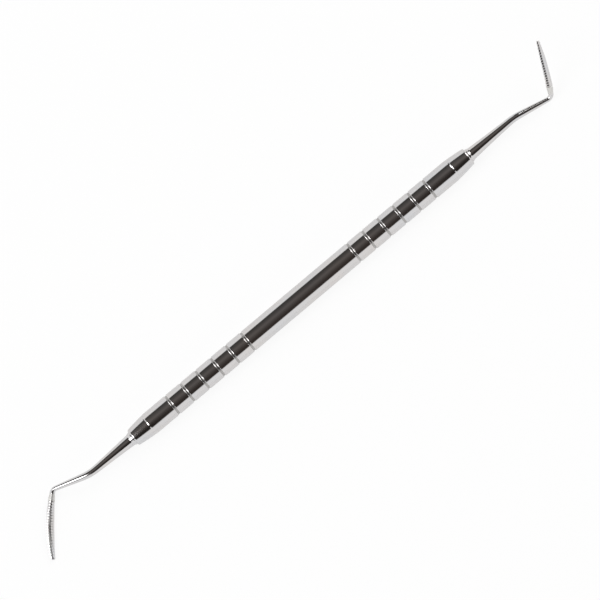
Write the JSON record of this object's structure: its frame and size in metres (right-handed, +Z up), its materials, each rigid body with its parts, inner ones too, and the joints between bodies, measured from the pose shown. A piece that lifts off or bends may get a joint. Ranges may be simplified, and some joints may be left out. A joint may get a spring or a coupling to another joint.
{
  "type": "bone file",
  "caption": "Slim double-ended steel hand file: a ring-grooved round handle with an angled, finely toothed file blade bent off each end on a tapered shank.",
  "frame": {"origin": "middle of the handle, on its axis", "axes": "+X along the handle's axis towards the end that the picture shows at the upper right, +Z up from the surface it lies on, +Y across the handle towards the upper left of the picture"},
  "size_m": [0.1752, 0.0216, 0.0115],
  "materials": {
    "handle_steel": "polished stainless steel with fine turned ring grooves",
    "working_end_steel": "polished hardened stainless steel, finely cut file teeth"
  },
  "bodies": {
    "root": {"handle": "handle_steel", "left_working_end": "working_end_steel", "right_working_end": "working_end_steel"}
  },
  "joints": []
}
